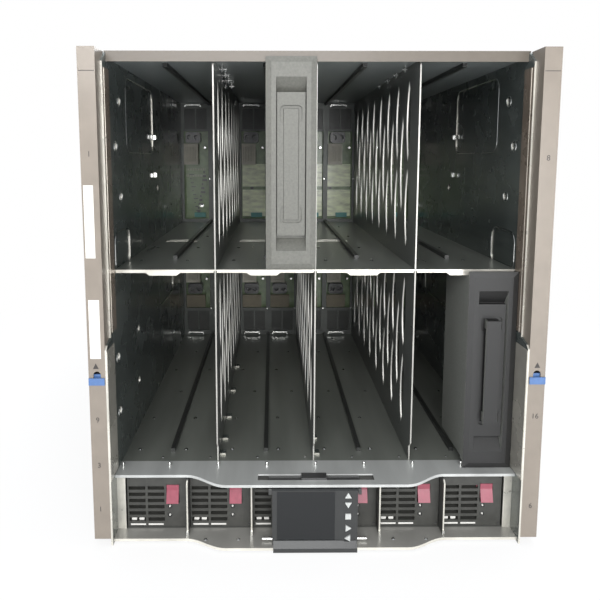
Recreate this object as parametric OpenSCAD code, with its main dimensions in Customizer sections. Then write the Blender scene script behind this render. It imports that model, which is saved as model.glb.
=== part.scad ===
/* [Rack and overall size] */
// Height of the enclosure in rack units
rack_units = 12; // [12:1:14]
// Height of one rack unit
unit_h = 44.45; // [44.4:0.05:44.5]
// Space left free in the rack above the enclosure
rack_gap = 1.4; // [1:0.1:2.5]
// Width over the two mounting flanges
flange_span = 482.6; // [480:0.2:484]
// Distance between the two columns of rack bolts
rack_hole_span = 465.1; // [464:0.1:466]
// Radius of a rack bolt hole
rack_hole_r = 3.5; // [3.2:0.1:3.8]
// Depth from the face of the bezels to the rear face
body_d = 813; // [780:1:860]
// Thickness of the side sheets
wall_t = 1.9; // [1.5:0.1:2.4]
// Thickness of the inner sheets
sheet_t = 1.5; // [1.2:0.1:2]

/* [Device bays] */
// Width of one device bay
bay_w = 55.4; // [55:0.1:55.6]
// Level of the device bay floor
floor_z = 72; // [70:0.5:80]
// Height of the lower row of bays, from the floor to the shelf
lower_bay_h = 224.5; // [215:0.5:228]
// Distance from the bezel face to the front edges of dividers and shelves
divider_y = 39; // [36:0.5:45]
// Distance from the bezel face to the faces of the midplane connectors
connector_y = 500; // [480:1:520]
// Distance from the ceiling down to the middles of the upper signal connectors
signal_in = 96.5; // [96:0.5:104]
// Distance from the floor up to the middles of the lower signal connectors
signal_up = 126; // [125:0.5:128]
// Distance from the ceiling down to the middles of the upper power connectors
power_in = 65; // [62:0.5:65]
// Distance from the floor up to the middles of the lower power connectors
power_up = 94; // [90:0.5:95]
// Distance from the top of the enclosure down to the ceiling of the bays
ceiling_drop = 6.6; // [5:0.1:10]
// Width of a guide strip
guide_w = 5; // [4:0.2:6]
// Height of a guide strip
guide_h = 4.5; // [3:0.1:6]
// Distance from the bezel face to the front ends of the guide strips
guide_y = 64; // [60:1:75]

/* [Front edges] */
// Thickness of the rolled front edges of the bay floor and the base tray
bead_t = 3; // [2.6:0.1:3.4]
// Distance from the bezel face to the sides of the bay floor's front edge
lip_y = 15.6; // [14:0.2:22]
// How far the middle of the bay floor's front edge bows out
lip_bow = 19.5; // [12:0.5:22]
// Distance from the bezel face to the sides of the base tray's front edge
tray_y = 4.5; // [3:0.5:8]
// How far the middle of the base tray's front edge bows out
tray_bow = 15.4; // [12:0.1:18]
// Half width of the straight middle of the bowed edges
bow_in = 98; // [94:1:105]
// Half width at which the bowed edges become straight again
bow_out = 143; // [136:1:150]
// Thickness of the base tray
tray_t = 4.6; // [3.8:0.1:6]

/* [Bezels and latches] */
// Depth of a bezel
bezel_d = 26; // [22:0.5:30]
// Wall thickness of a bezel
bezel_t = 2; // [1.6:0.1:2.6]
// Height of the bezels' lower ends above the base
bezel_z = 8; // [6:0.5:12]
// Level of the latch bands
latch_z = 182.5; // [175:0.5:190]
// Height of a latch band
latch_h = 7.6; // [7:0.1:9]
// Travel of a latch band
latch_travel = 6; // [4:0.5:7]

/* [Device bay blanks] */
// Width of a blank's bezel
blank_w = 53.8; // [52.6:0.1:53.9]
// Height of a blank's bezel
blank_h = 225; // [218:0.5:226]
// Distance from the bezel face to the face of a blank
blank_y = 26; // [24:0.5:28]
// Depth of a blank from its face to its rear edge
blank_d = 86; // [80:1:110]
// Thickness of a blank's plastic front
blank_front_t = 12; // [11:0.5:12.4]
// Depth of the well in a blank's front
well_d = 10; // [9:0.2:10.4]
// Width of the well in a blank's front
well_w = 32; // [30:0.5:34]
// Width of the handle bar
grip_w = 15.6; // [14:0.2:17]
// Length of the handle bar
grip_l = 118; // [110:1:122]
// Travel of the handle out of the blank
grip_travel = 18; // [14:0.5:20]
// How far the lower blank's handle stands pulled out at rest
grip_rest = 8; // [6:0.5:10]
// Distance that a blank can slide out of its bay
blank_travel = 120; // [100:5:140]

/* [Power supplies] */
// Distance between neighbouring power supplies
psu_pitch = 70.8; // [70:0.1:71]
// Width of a power supply
psu_w = 68.4; // [66:0.2:68.6]
// Height of a power supply
psu_h = 61; // [56:0.5:61.5]
// Length of a power supply
psu_l = 420; // [400:5:440]
// Distance from the bezel face to the faces of the power supplies
psu_y = 24; // [22:0.5:28]

/* [Status display] */
// Width of the display
display_w = 92; // [86:1:96]
// Thickness of the display
display_t = 11; // [10:0.2:11.4]
// Offset of the display from the middle at rest
display_x = -2; // [-6:0.5:6]
// Travel of the display to each side of the middle
display_travel = 44; // [36:1:46]
// Width of the knob that slides the display
knob_w = 27.5; // [24:0.5:30]
// How far the display's face stands in front of the middle of the bay floor's edge
display_proud = 2.5; // [1:0.1:4]
// Travel of a display button
button_travel = 0.8; // [0.5:0.1:1.2]
// Half width of a display key
key_r = 3.6; // [3:0.1:4]
// Radius of the display's hinge pins
pin_r = 1.6; // [1.3:0.1:1.8]

/* [Rear] */
// Height of a fan module
fan_h = 84; // [80:0.5:84]
// Length of a fan module
fan_l = 74; // [60:1:90]
// Radius of a fan's air duct
duct_r = 37; // [34:0.5:38]
// Radius of a fan's shaft
shaft_r = 3; // [2.5:0.1:3.5]
// Radius of a fan's hub
hub_r = 14; // [12:0.5:16]
// Height of a management module
admin_h = 40; // [36:0.5:42]
// Length of a management module
admin_l = 190; // [160:5:230]

/* [Clearances] */
// Gap between a sliding piece and its guide
slide_gap = 0.35; // [0.3:0.05:0.5]
// Radial clearance of a pin in its bore
bore_gap = 0.05; // [0.03:0.01:0.08]
// Gap between a moving piece and the opening round it
edge_gap = 0.5; // [0.3:0.1:0.8]

/* [Hidden] */

taupe = [0.60, 0.56, 0.50];
dark_sheet = [0.19, 0.21, 0.22];
light_sheet = [0.72, 0.73, 0.72];
charcoal = [0.16, 0.16, 0.16];
black = [0.06, 0.06, 0.06];

bay_n = 8;
psu_n = 6;
case_h = rack_units * unit_h - rack_gap;
body_w = bay_n * bay_w + 2 * wall_t;
wall_x = body_w / 2 - wall_t;
ear_w = (flange_span - body_w) / 2;
ceiling_z = case_h - ceiling_drop;
shelf_z = floor_z + lower_bay_h;
upper_z = shelf_z + sheet_t;

// the display's face and the lip under it that a hand pulls
grip_lip = 7;
display_y = lip_y - lip_bow - display_proud;
// handles at the rear stand out this far
handle_out = 12;
// the origin lies under the middle of the whole part, front to back
front_y = -(body_d + handle_out + display_y - grip_lip) / 2;

// rack flange behind each bezel
flange_t = 2;
flange_y = bezel_d;
flange_top = case_h - rack_gap;
// front edge of the side sheets above and below the jog
wall_front = 17;
jog_z = 222;
// flange of a blank's bezel
plate_t = 4;
lip_face_y = blank_y + plate_t + edge_gap;
lip_drop = 4.4;

// midplane: a slotted frame in front of the board
frame_y = connector_y + 6;
frame_t = 2;
board_y = connector_y + 20;
board_t = 4;

// rear half: shelves at these levels carry the modules
rear_y = 560;
fan_pitch = 2 * wall_x / 5;
fan_w = fan_pitch - 2.4;
low_fan_z = floor_z;
admin_z = low_fan_z + fan_h + edge_gap + sheet_t;
ic_z = admin_z + admin_h + edge_gap + sheet_t;
top_fan_z = ceiling_z - fan_h - edge_gap;
ic_rows = 4;
ic_pitch = (top_fan_z - ic_z) / ic_rows;
// fans fill these places, counted as column from the left and row; the others are blanked
fans = [[1, 0], [3, 0], [1, 1], [3, 1]];

// --- general shapes ---------------------------------------------------------

module placed() {
    translate([0, front_y, 0]) children();
}

// a box given by its low and high corners
module block(a, b) {
    translate(a) cube(b - a);
}

// the part of a box with slanting or stepped ends that is drawn in Y and Z, from x0 to x1
module profile_x(x0, x1) {
    translate([x0, 0, 0]) rotate([90, 0, 90]) linear_extrude(x1 - x0) children();
}

// an outline drawn in X and Z, made solid from y0 to y1
module profile_y(y0, y1) {
    translate([0, y1, 0]) rotate([90, 0, 0]) linear_extrude(y1 - y0) children();
}

module rounded(w, h, r) {
    square([w - 2 * r, h], center = true);
    square([w, h - 2 * r], center = true);
    for (x = [-1, 1], y = [-1, 1])
        translate([x * (w / 2 - r), y * (h / 2 - r)]) circle(r, $fn = 24);
}

module rod_x(r, x0, x1) {
    translate([x0, 0, 0]) rotate([0, 90, 0]) cylinder(r = r, h = x1 - x0, $fn = 32);
}

module rod_y(r, y0, y1) {
    translate([0, y0, 0]) rotate([-90, 0, 0]) cylinder(r = r, h = y1 - y0, $fn = 32);
}

// how far a bowed edge stands forward at x
function bow_at(x, bow) =
    abs(x) <= bow_in ? bow :
    abs(x) >= bow_out ? 0 :
    bow * (0.5 + 0.5 * cos(180 * (abs(x) - bow_in) / (bow_out - bow_in)));

bow_x = [for (i = [0:10]) bow_in + (bow_out - bow_in) * i / 10];

// plate from wall to wall with a bowed front edge, its straight rear edge at rear
module bowed_plate(y, bow, rear) {
    polygon(concat(
        [[wall_x, rear], [-wall_x, rear], [-wall_x, y]],
        [for (i = [10:-1:0]) [-bow_x[i], y - bow_at(bow_x[i], bow)]],
        [for (i = [0:10]) [bow_x[i], y - bow_at(bow_x[i], bow)]],
        [[wall_x, y]]));
}

// --- case -------------------------------------------------------------------

module top_cover() {
    color(taupe) {
        block([-body_w / 2, lip_face_y, case_h - sheet_t], [body_w / 2, body_d, case_h]);
        // front lip, folded down over the edge of the ceiling
        block([-wall_x, lip_face_y, ceiling_z - lip_drop],
              [wall_x, lip_face_y + sheet_t, case_h - sheet_t]);
    }
    color(dark_sheet) {
        block([-wall_x, lip_face_y + sheet_t, ceiling_z],
              [wall_x, board_y + board_t, ceiling_z + sheet_t]);
        // rails between the ceiling and the cover
        for (s = [-1, 1])
            block([s * 3 * bay_w - 8, divider_y, ceiling_z + sheet_t],
                  [s * 3 * bay_w + 8, board_y, case_h - sheet_t]);
    }
}

// pockets pressed into a side sheet: middle, width and height, and round dimples
pockets = [[178, ceiling_z - 54, 147, 87], [76, shelf_z + 19, 63, 44], [330, floor_z + 150, 120, 60]];
dimples = [[75, ceiling_z - 41], [57, ceiling_z - 92], [73, ceiling_z - 149], [275, ceiling_z - 149],
           [42, floor_z + 125], [136, floor_z + 128], [133, floor_z + 60], [43, floor_z + 61]];
pocket_depth = 1.1;

// side sheet with its rack flange, drawn as the right-hand one
module side_wall() {
    color(dark_sheet) {
        difference() {
            profile_x(wall_x, wall_x + wall_t)
                polygon([[0, tray_t], [0, jog_z - 2], [4, jog_z + 2], [wall_front, jog_z + 6],
                         [wall_front, ceiling_z - 6], [lip_face_y, case_h - sheet_t],
                         [body_d, case_h - sheet_t], [body_d, tray_t]]);
            profile_x(wall_x - 1, wall_x + pocket_depth) {
                for (p = pockets) translate([p[0], p[1]]) rounded(p[2], p[3], 12);
                for (d = dimples) translate(d) circle(5.5, $fn = 32);
            }
        }
        profile_y(flange_y, flange_y + flange_t)
            difference() {
                translate([body_w / 2, bezel_z]) square([ear_w, flange_top - bezel_z]);
                for (u = [0.5, 3.5, rack_units - 3.5, rack_units - 0.5])
                    translate([rack_hole_span / 2, u * unit_h]) circle(rack_hole_r, $fn = 32);
            }
    }
    // flat stiffening strips along the front edge
    color(taupe)
        block([wall_x - 0.4, wall_front + 5, jog_z + 10], [wall_x, divider_y - 1, ceiling_z - 12]);
    color(light_sheet)
        block([wall_x - 0.4, 0.5, floor_z + 2], [wall_x, 28, jog_z - 4]);
}

module base_tray() {
    color(taupe) {
        translate([0, 0, tray_t - bead_t]) linear_extrude(bead_t)
            bowed_plate(tray_y, tray_bow, body_d);
        block([-wall_x, tray_y + 3, 0], [wall_x, body_d, tray_t - bead_t]);
        for (x = [-body_w / 2, wall_x])
            block([x, 0, 0], [x + wall_t, body_d, tray_t]);
    }
}

slot_y = lip_y - lip_bow + 14.6;
slot_w = 11;
slot_l = 2 * display_travel + knob_w + 12;

module bay_floor() {
    color(dark_sheet)
        difference() {
            union() {
                // rolled front edge
                translate([0, 0, floor_z - bead_t]) linear_extrude(bead_t)
                    difference() {
                        bowed_plate(lip_y, lip_bow, lip_y + 4);
                        bowed_plate(lip_y + 4, lip_bow, lip_y + 5);
                    }
                translate([0, 0, floor_z - sheet_t]) linear_extrude(sheet_t)
                    bowed_plate(lip_y + 4, lip_bow, board_y);
            }
            // slot for the knob that slides the display
            translate([0, slot_y, floor_z - 10]) linear_extrude(20) square([slot_l, slot_w], center = true);
        }
}

// --- device bays ------------------------------------------------------------

// a tall leaf: the overlap of two circles
module leaf(h, w) {
    r = (h * h / 4 + w * w / 4) / w;
    intersection() {
        translate([r - w / 2, 0]) circle(r, $fn = 96);
        translate([w / 2 - r, 0]) circle(r, $fn = 96);
    }
}

leaf_pitch = 27;
leaf_w = 17;
leaf_y = divider_y + 45;

// staggered columns of leaves between two levels
module leaf_rows(z0, z1) {
    h = (z1 - z0) / 2;
    for (i = [0:floor((connector_y - 30 - leaf_y) / leaf_pitch)])
        translate([leaf_y + i * leaf_pitch, 0]) {
            if (i % 2 == 0)
                for (k = [0.5, 1.5]) translate([0, z0 + h * k]) leaf(h - 8, leaf_w);
            else
                translate([0, z0 + h]) leaf(1.15 * h, leaf_w);
        }
}

module divider(x) {
    color(light_sheet)
        profile_x(x - sheet_t / 2, x + sheet_t / 2)
            difference() {
                polygon([[divider_y, floor_z + 23], [divider_y, ceiling_z - 5],
                         [divider_y + 6, ceiling_z], [frame_y, ceiling_z], [frame_y, floor_z],
                         [divider_y + 6, floor_z], [divider_y + 6, floor_z + 17]]);
                leaf_rows(upper_z + 14, ceiling_z - 12);
                leaf_rows(floor_z + 23, shelf_z - 12);
            }
}

// half-depth shelf between two neighbouring walls or dividers, counted from the left
module bay_shelf(i) {
    x0 = i == 0 ? -wall_x : (i - 2) * 2 * bay_w + sheet_t / 2;
    x1 = i == 3 ? wall_x : (i - 1) * 2 * bay_w - sheet_t / 2;
    color(dark_sheet) {
        block([x0, divider_y, shelf_z], [x1, frame_y, shelf_z + sheet_t]);
        // folded front edge, deeper in its middle third
        profile_y(divider_y, divider_y + 3)
            polygon([[x0 + 1, shelf_z], [x1 - 1, shelf_z], [x1 - 1, shelf_z - 2],
                     [x1 - 38, shelf_z - 2], [x1 - 42, shelf_z - 5], [x0 + 38, shelf_z - 5],
                     [x0 + 34, shelf_z - 2], [x0 + 1, shelf_z - 2]]);
    }
}

module guide_strips() {
    for (i = [-3, -1, 1, 3], g = [[guide_y, floor_z], [guide_y, ceiling_z - guide_h],
                                  [guide_y + 40, upper_z], [guide_y + 40, shelf_z - guide_h]])
        color(black)
            block([i * bay_w - guide_w / 2, g[0], g[1]],
                  [i * bay_w + guide_w / 2, connector_y, g[1] + guide_h]);
}

module alignment_studs() {
    for (i = [0:bay_n - 1])
        color("silver")
            translate([(i - 4) * bay_w + (i == 0 ? 4 : 1.5), lip_y + 19, floor_z]) {
                cylinder(r = 1.6, h = 3, $fn = 24);
                translate([0, 0, 3]) cylinder(r1 = 1.6, r2 = 0.9, h = 1, $fn = 24);
            }
}

// --- bezels and latches -----------------------------------------------------

latch_x = (body_w / 2 + flange_span / 2) / 2;
latch_slot_w = 8;

// right-hand bezel: a shell open to the rear, over the rack flange
module bezel() {
    x0 = body_w / 2;
    x1 = flange_span / 2;
    color(taupe)
        difference() {
            block([x0, 0, bezel_z], [x1, bezel_d, flange_top]);
            block([x0 + bezel_t, bezel_t, bezel_z + bezel_t],
                  [x1 - bezel_t, bezel_d + 1, flange_top - bezel_t]);
            // round-ended slot that the latch runs in
            translate([latch_x, 0, 0]) {
                block([-latch_slot_w / 2, -1, latch_z + 1],
                      [latch_slot_w / 2, bezel_t + 1, latch_z + latch_h + latch_travel - 3]);
                translate([0, 0, latch_z + latch_h + latch_travel - 3])
                    rod_y(latch_slot_w / 2, -1, bezel_t + 1);
            }
        }
}

// right-hand latch: a band over the bezel, a stem through its slot and a plate with a hook behind
module latch() {
    color([0.16, 0.30, 0.55])
        translate([latch_x, 0, latch_z]) {
            block([-ear_w / 2 + 0.8, -1.6, 0], [ear_w / 2 - 0.2, -slide_gap, latch_h]);
            block([-2.6, -slide_gap, 1.6], [2.6, bezel_t + slide_gap, latch_h - 1]);
            block([-5.6, bezel_t + slide_gap, -3], [5.6, bezel_t + slide_gap + 1.8, latch_h + 3]);
            block([-2.2, bezel_t + slide_gap + 1.8, 0], [2.2, bezel_d - 3, 4]);
            block([-2.2, bezel_d - 5, 4], [2.2, bezel_d - 3, 8]);
        }
}

// --- midplane ---------------------------------------------------------------

door_w = 20;
door_h = 39;
door_split = 2.4;
door_lap = 0.7;
window_w = 2 * door_w + door_split;
upper_door_z = ceiling_z - 49;
lower_door_z = floor_z + 9;
hinge_bar_r = 1.2;
hinge_bar_y = frame_y + frame_t + edge_gap + 1.4;
bearing_w = 5;

function bay_x(i) = (i - 3.5) * bay_w;

// middles of the connectors, down from the ceiling and up from the floor
signal_z = [ceiling_z - signal_in, floor_z + signal_up];
power_z = [ceiling_z - power_in, floor_z + power_up];

module midplane_board() {
    color([0.25, 0.38, 0.25])
        profile_y(board_y, board_y + board_t)
            difference() {
                translate([-wall_x, tray_t]) square([2 * wall_x, ceiling_z - tray_t]);
                // the air doors swing back through these
                for (i = [0:bay_n - 1], z = [upper_door_z, lower_door_z])
                    translate([bay_x(i) - window_w / 2 - 1.8, z - 3])
                        square([window_w + 3.6, door_h + 4]);
            }
}

module midplane_frame() {
    color(dark_sheet) {
        profile_y(frame_y, frame_y + frame_t)
            difference() {
                translate([-wall_x, floor_z]) square([2 * wall_x, ceiling_z - floor_z]);
                for (i = [0:bay_n - 1]) {
                    // views of the board and its connectors
                    translate([bay_x(i) - 23.5, upper_z + 6]) square([47, ceiling_z - upper_z - 59]);
                    translate([bay_x(i) - 23.5, floor_z + 54]) square([47, shelf_z - floor_z - 60]);
                    for (z = [upper_door_z, lower_door_z], s = [-1, 1])
                        translate([bay_x(i) + s * (door_w + door_split) / 2 - door_w / 2, z])
                            square([door_w, door_h]);
                }
            }
        // bearings for the ends of the two hinge bars
        for (s = [-1, 1], z = [upper_door_z, lower_door_z])
            difference() {
                block([s * wall_x - (s > 0 ? bearing_w : 0), frame_y + frame_t, z + door_h - 4],
                      [s * wall_x + (s > 0 ? 0 : bearing_w), hinge_bar_y + 3, z + door_h + 5]);
                translate([0, hinge_bar_y, z + door_h + 1.5])
                    rod_x(hinge_bar_r + bore_gap, -wall_x - 1, wall_x + 1);
            }
        // struts to the board
        for (i = [1:bay_n - 1], z = [upper_z + 1, shelf_z - 5])
            block([(i - 4) * bay_w - 3, frame_y + frame_t, z], [(i - 4) * bay_w + 3, board_y, z + 4]);
    }
}

// pairs of doors that close the windows from behind, all on one hinge bar
module air_doors(z) {
    color(dark_sheet) {
        for (i = [0:bay_n - 1], s = [-1, 1])
            translate([bay_x(i) + s * (door_w + door_split) / 2, frame_y + frame_t + edge_gap, z])
                block([-door_w / 2 - door_lap, 0, -1], [door_w / 2 + door_lap, 1.2, door_h + 1.5]);
        translate([0, hinge_bar_y, z + door_h + 1.5]) rod_x(hinge_bar_r, -wall_x + 0.6, wall_x - 0.6);
    }
}

module signal_connectors() {
    for (i = [0:bay_n - 1], z = signal_z)
        translate([bay_x(i) - 9.3, 0, z])
            color([0.85, 0.83, 0.76])
                difference() {
                    union() {
                        block([-11.5, connector_y, -16], [11.5, board_y, 16]);
                        block([-13.5, connector_y + 2, -20], [13.5, board_y, 20]);
                    }
                    // contact slots
                    for (k = [-3:3]) block([k * 3 - 0.6, connector_y - 1, -14], [k * 3 + 0.6, connector_y + 4, 14]);
                }
}

module power_connectors() {
    for (i = [0:bay_n - 1], z = power_z)
        translate([bay_x(i) - 5, 0, z])
            color([0.2, 0.2, 0.2])
                difference() {
                    profile_y(connector_y, board_y) rounded(28, 20.5, 5);
                    for (s = [-1, 1]) translate([s * 6.6, 0, 0]) rod_y(4.4, connector_y - 1, connector_y + 12);
                }
}

// --- power supplies ---------------------------------------------------------

psu_z = tray_t + slide_gap;

function psu_x(i) = (i - (psu_n - 1) / 2) * psu_pitch;

// partitions between the supplies and fillers at the walls, up to the underside of the bay floor
module psu_bay_frame() {
    top = floor_z - sheet_t;
    low = floor_z - bead_t - 1;
    y1 = psu_y + psu_l;
    color(light_sheet) {
        for (i = [1:psu_n - 1])
            translate([(i - psu_n / 2) * psu_pitch, 0, 0])
                profile_x(-0.8, 0.8)
                    polygon([[8.5, tray_t], [8.5, low - 3], [11.5, low], [psu_y + 14, low],
                             [psu_y + 14, top], [y1, top], [y1, tray_t]]);
        for (s = [-1, 1])
            block([s > 0 ? psu_n / 2 * psu_pitch : -wall_x, lip_y + 6, tray_t],
                  [s > 0 ? wall_x : -psu_n / 2 * psu_pitch, y1, top]);
    }
}

grille_w = 18.6;
grille_h = 4.2;
grille_pitch = 7.5;
grille_x = [-23.2, -1.9];
tab_x = 17;
tab_w = 13.6;
tab_z = 30;
tab_h = 20;
tab_t = 2.6;
tab_out = 4;
tab_pin_z = tab_z + tab_h - 4;
tab_pin_y = 4;
lamp_z = [14.3, 24.5];

module psu(i) {
    translate([psu_x(i), psu_y, psu_z])
        color(charcoal)
            difference() {
                block([-psu_w / 2, 0, 0], [psu_w / 2, psu_l, psu_h]);
                for (x = grille_x, r = [0:5])
                    translate([x, 0, 9.1 + r * grille_pitch])
                        block([-grille_w / 2, -1, -grille_h / 2], [grille_w / 2, 6, grille_h / 2]);
                // pocket that the release tab presses into
                block([tab_x - tab_w / 2 - edge_gap, -1, tab_z - edge_gap - 1],
                      [tab_x + tab_w / 2 + edge_gap, 9, tab_z + tab_h + edge_gap]);
                translate([0, tab_pin_y, tab_pin_z])
                    rod_x(pin_r + bore_gap, tab_x - tab_w / 2 - 4, tab_x + tab_w / 2 + 4);
                // places of the two lamps
                for (z = lamp_z) translate([13.4, 0, z]) rod_y(1.8, -1, 1.2);
            }
}

// the tab stands out at its lower end and swings in about the pin near its upper end
module psu_tab(i) {
    translate([psu_x(i), psu_y, psu_z])
        color([0.45, 0.08, 0.15]) {
            profile_x(tab_x - tab_w / 2, tab_x + tab_w / 2)
                polygon([[-tab_out, tab_z], [0, tab_z + tab_h - 6], [0, tab_z + tab_h],
                         [tab_t, tab_z + tab_h], [tab_pin_y + 2.2, tab_pin_z + 2],
                         [tab_pin_y + 2.2, tab_pin_z - 2], [tab_t, tab_z + tab_h - 8],
                         [tab_t - tab_out, tab_z]]);
            translate([0, tab_pin_y, tab_pin_z])
                rod_x(pin_r, tab_x - tab_w / 2 - 3.5, tab_x + tab_w / 2 + 3.5);
        }
}

// --- status display ---------------------------------------------------------

display_z0 = tray_t + 0.8;
display_z1 = floor_z - bead_t - 0.8;
tilt_y = display_y + 2.8;
tilt_z = display_z1 - 2.9;
display_x0 = display_x - display_w / 2;
display_x1 = display_x + display_w / 2;
screen_x0 = display_x0 + 5;
screen_w = 62.4;
screen_z0 = display_z0 + 4.4;
screen_h = 56;
button_x = display_x + 35.6;
button_z = [55.8, 45.6, 32.2, 18.6, 7.2];
button_turn = [90, -90, 0, 0, 180];
ear_t = 3.4;

// carriage: a knob in the floor's slot, a plate under the floor and two ears with the tilt pins
// outline of a key: a square in the middle of the column and triangles that point four ways
module key(i, grow) {
    if (i == 2) square(2 * key_r * 0.84 + 2 * grow, center = true);
    else
        rotate(button_turn[i])
            polygon([[key_r + 2 * grow, 0], [-key_r * 0.7 - grow, key_r + 2.3 * grow],
                     [-key_r * 0.7 - grow, -key_r - 2.3 * grow]]);
}

module display_slider() {
    under = floor_z - sheet_t - slide_gap;
    deck_t = 1.4;
    front = lip_y - lip_bow + 4 + slide_gap;
    color(black) {
        block([display_x - knob_w / 2, slot_y - slot_w / 2 + slide_gap, under - deck_t],
              [display_x + knob_w / 2, slot_y + slot_w / 2 - slide_gap, floor_z + 2]);
        block([display_x0 - edge_gap - ear_t, front, under - deck_t],
              [display_x1 + edge_gap + ear_t, slot_y + 9, under]);
        for (s = [-1, 1])
            translate([s > 0 ? display_x1 + edge_gap : display_x0 - edge_gap - ear_t, 0, 0]) {
                profile_x(0, ear_t)
                    polygon([[tilt_y - 2.8, tilt_z - 3], [tilt_y - 2.8, display_z1],
                             [front, display_z1], [front, under - deck_t / 2],
                             [front + 4, under - deck_t / 2], [front + 4, tilt_z - 3]]);
                translate([0, tilt_y, tilt_z])
                    rod_x(pin_r * 0.8, s > 0 ? -4.5 : ear_t / 2, s > 0 ? ear_t / 2 : ear_t + 4.5);
            }
    }
}

module display_housing() {
    color(black)
        difference() {
            union() {
                profile_x(display_x0, display_x1)
                    polygon([[display_y, display_z0], [display_y, display_z1 - 1.4],
                             [display_y + 1.4, display_z1], [display_y + display_t, display_z1],
                             [display_y + display_t, display_z0]]);
                // lip that hangs over the front edge of the tray
                profile_x(display_x0 + 1, display_x1 - 1)
                    polygon([[display_y - grip_lip, 0.8], [display_y - grip_lip, display_z0],
                             [display_y, display_z0 + 4], [display_y + 2, display_z0],
                             [tray_y - tray_bow - edge_gap, display_z0],
                             [tray_y - tray_bow - edge_gap, 0.8]]);
            }
            block([screen_x0, display_y - 1, screen_z0],
                  [screen_x0 + screen_w, display_y + 1.6, screen_z0 + screen_h]);
            for (i = [0:4])
                translate([button_x, 0, display_z0 + button_z[i]])
                    profile_y(display_y - 1, display_y + 5) key(i, slide_gap);
            translate([0, tilt_y, tilt_z]) {
                rod_x(pin_r * 0.8 + bore_gap, display_x0 - 1, display_x0 + 4.5);
                rod_x(pin_r * 0.8 + bore_gap, display_x1 - 4.5, display_x1 + 1);
            }
        }
}

module display_window() {
    color([0.10, 0.12, 0.16])
        block([screen_x0, display_y + 0.3, screen_z0],
              [screen_x0 + screen_w, display_y + 1.6, screen_z0 + screen_h]);
}

module display_button(i) {
    color([0.75, 0.75, 0.75])
        translate([button_x, 0, display_z0 + button_z[i]])
            profile_y(display_y - button_travel - 0.2, display_y + 4) key(i, 0);
}

// bar along the foot of the display; its ends snap into the tray
module display_rod() {
    color("silver")
        for (e = [[display_x0 - 11, display_x0], [display_x1, display_x1 + 11]])
            translate([0, display_y + 7, display_z0 + 1.6]) rod_x(1.6, e[0], e[1]);
}

// --- device bay blanks ------------------------------------------------------

plug_h = blank_h - 13;
plug_w = blank_w - 1.2;
can_w = blank_w - 4.8;
can_t = 1.2;
panel_h = blank_h - 73;
panel_y = 3;
panel_w = well_w - 2;
leg_h = 11;
leg_w = grip_w - 4;
leg_y = blank_front_t + grip_travel + 4;

// recess round the end of the handle and the close hole that its leg runs in
module leg_slot() {
    profile_y(-1, 5) rounded(leg_w + 12, leg_h + 7, 5);
    block([-leg_w / 2 - slide_gap, -1, -leg_h / 2 - slide_gap],
          [leg_w / 2 + slide_gap, blank_front_t + 1, leg_h / 2 + slide_gap]);
}

// section through a bezel whose face slopes back at its edges, across the width w
module bevelled(w) {
    polygon([[0, -w / 2 + 6], [0, w / 2 - 6], [1.6, w / 2], [plate_t, w / 2],
             [plate_t, -w / 2], [1.6, -w / 2]]);
}

// x and z are the middle of the bezel
module blank(x, z) {
    translate([x, blank_y, z]) {
        color(charcoal)
            difference() {
                union() {
                    intersection() {
                        profile_y(0, plate_t) square([blank_w, blank_h], center = true);
                        profile_x(-blank_w, blank_w) bevelled(blank_h);
                        rotate([0, 90, 0]) profile_x(-blank_h, blank_h) bevelled(blank_w);
                    }
                    profile_y(plate_t, blank_front_t) square([plug_w, plug_h], center = true);
                }
                // well with sloping ends, round a raised panel
                difference() {
                    profile_x(-well_w / 2, well_w / 2)
                        polygon([[-1, -blank_h / 2 + 20], [0, -blank_h / 2 + 20],
                                 [well_d, -blank_h / 2 + 33], [well_d, blank_h / 2 - 36],
                                 [0, blank_h / 2 - 21], [-1, blank_h / 2 - 21]]);
                    block([-panel_w / 2, panel_y, -panel_h / 2], [panel_w / 2, well_d + 1, panel_h / 2]);
                }
                // channel for the handle bar
                block([-grip_w / 2 - slide_gap, 0, -grip_l / 2 - slide_gap],
                      [grip_w / 2 + slide_gap, 7, grip_l / 2 + slide_gap]);
                for (s = [-1, 1]) translate([0, 0, s * (grip_l / 2 - leg_h / 2)]) leg_slot();
            }
        color(light_sheet)
            difference() {
                block([-can_w / 2, blank_front_t, -plug_h / 2], [can_w / 2, blank_d, plug_h / 2]);
                block([-can_w / 2 + can_t, blank_front_t - 1, -plug_h / 2 + can_t],
                      [can_w / 2 - can_t, blank_d + 1, plug_h / 2 - can_t]);
            }
    }
}

// a bar with two legs through the blank's front, tied together behind it
module grip(x, z, out) {
    translate([x, blank_y - out, z])
        color(charcoal) {
            block([-grip_w / 2, 3.4, -grip_l / 2], [grip_w / 2, 6.4, grip_l / 2]);
            for (s = [-1, 1])
                translate([0, 0, s * (grip_l / 2 - leg_h / 2)])
                    block([-leg_w / 2, 6.4, -leg_h / 2], [leg_w / 2, leg_y, leg_h / 2]);
            block([-leg_w / 2, leg_y, -grip_l / 2], [leg_w / 2, leg_y + 1.6, grip_l / 2]);
        }
}

upper_blank_x = bay_x(3);
upper_blank_z = upper_z + 3 + blank_h / 2;
lower_blank_x = bay_x(7);
lower_blank_z = floor_z + edge_gap + blank_h / 2;

// --- rear -------------------------------------------------------------------

// shelves for the rear modules and the wall between the two interconnect columns
module rear_cage() {
    levels = concat([low_fan_z, admin_z, top_fan_z], [for (r = [0:ic_rows - 1]) ic_z + r * ic_pitch]);
    color(light_sheet) {
        for (z = levels)
            block([-wall_x, rear_y, z - sheet_t], [wall_x, body_d, z]);
        for (r = [-1:ic_rows - 1])
            block([-0.8, rear_y, r < 0 ? admin_z : ic_z + r * ic_pitch],
                  [0.8, body_d, r < 0 ? ic_z - sheet_t : ic_z + (r + 1) * ic_pitch - sheet_t]);
    }
}

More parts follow.
